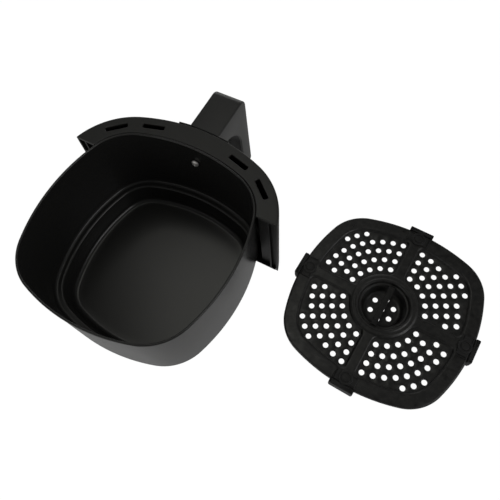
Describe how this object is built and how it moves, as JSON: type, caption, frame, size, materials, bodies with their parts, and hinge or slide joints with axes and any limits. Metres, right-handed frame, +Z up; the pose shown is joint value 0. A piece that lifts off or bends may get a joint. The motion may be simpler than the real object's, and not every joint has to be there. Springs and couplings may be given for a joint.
{
  "type": "air fryer drawer",
  "caption": "Square black air fryer drawer with a front cover and pull handle, and its loose perforated crisper tray with silicone edge clips lying beside it.",
  "frame": {"origin": "middle of the pan's flat underside, on the table", "axes": "+Z up, -Y from the pan towards the handle, +X to the right when looking along +Y from the handle; the tray lies on the -X side"},
  "size_m": [0.4751, 0.3028, 0.115],
  "materials": {
    "pan_coating": "satin black non-stick coating",
    "tray_coating": "matte speckled black non-stick coating",
    "cover_plastic": "fine-grained black plastic",
    "handle_plastic": "fine-grained black plastic",
    "panel_plastic": "plain black plastic",
    "clip_silicone": "matte black silicone",
    "screw_steel": "plain stainless steel"
  },
  "bodies": {
    "drawer": {"pan": "pan_coating", "pan_bracket": "screw_steel", "pan_screw": "screw_steel", "pan_screw_washer": "screw_steel", "pan_nut": "screw_steel", "front_cover": "cover_plastic", "inner_panel": "panel_plastic", "handle_shell": "handle_plastic", "handle_liner": "handle_plastic", "panel_screw_1": "screw_steel", "panel_screw_2": "screw_steel", "panel_screw_3": "screw_steel", "panel_screw_4": "screw_steel", "handle_screw_1": "screw_steel", "handle_screw_2": "screw_steel", "grip_screw_1": "screw_steel", "grip_screw_2": "screw_steel"},
    "tray": {"crisper_plate": "tray_coating", "lift_cup": "tray_coating", "lift_bar": "tray_coating", "clip_right": "clip_silicone", "clip_rear": "clip_silicone", "clip_left": "clip_silicone", "clip_front": "clip_silicone"}
  },
  "joints": [
    {"name": "tray_lift", "type": "slide", "parent": "drawer", "child": "tray", "axis": [0, 0, 1], "range_m": [0, 0.16]}
  ]
}
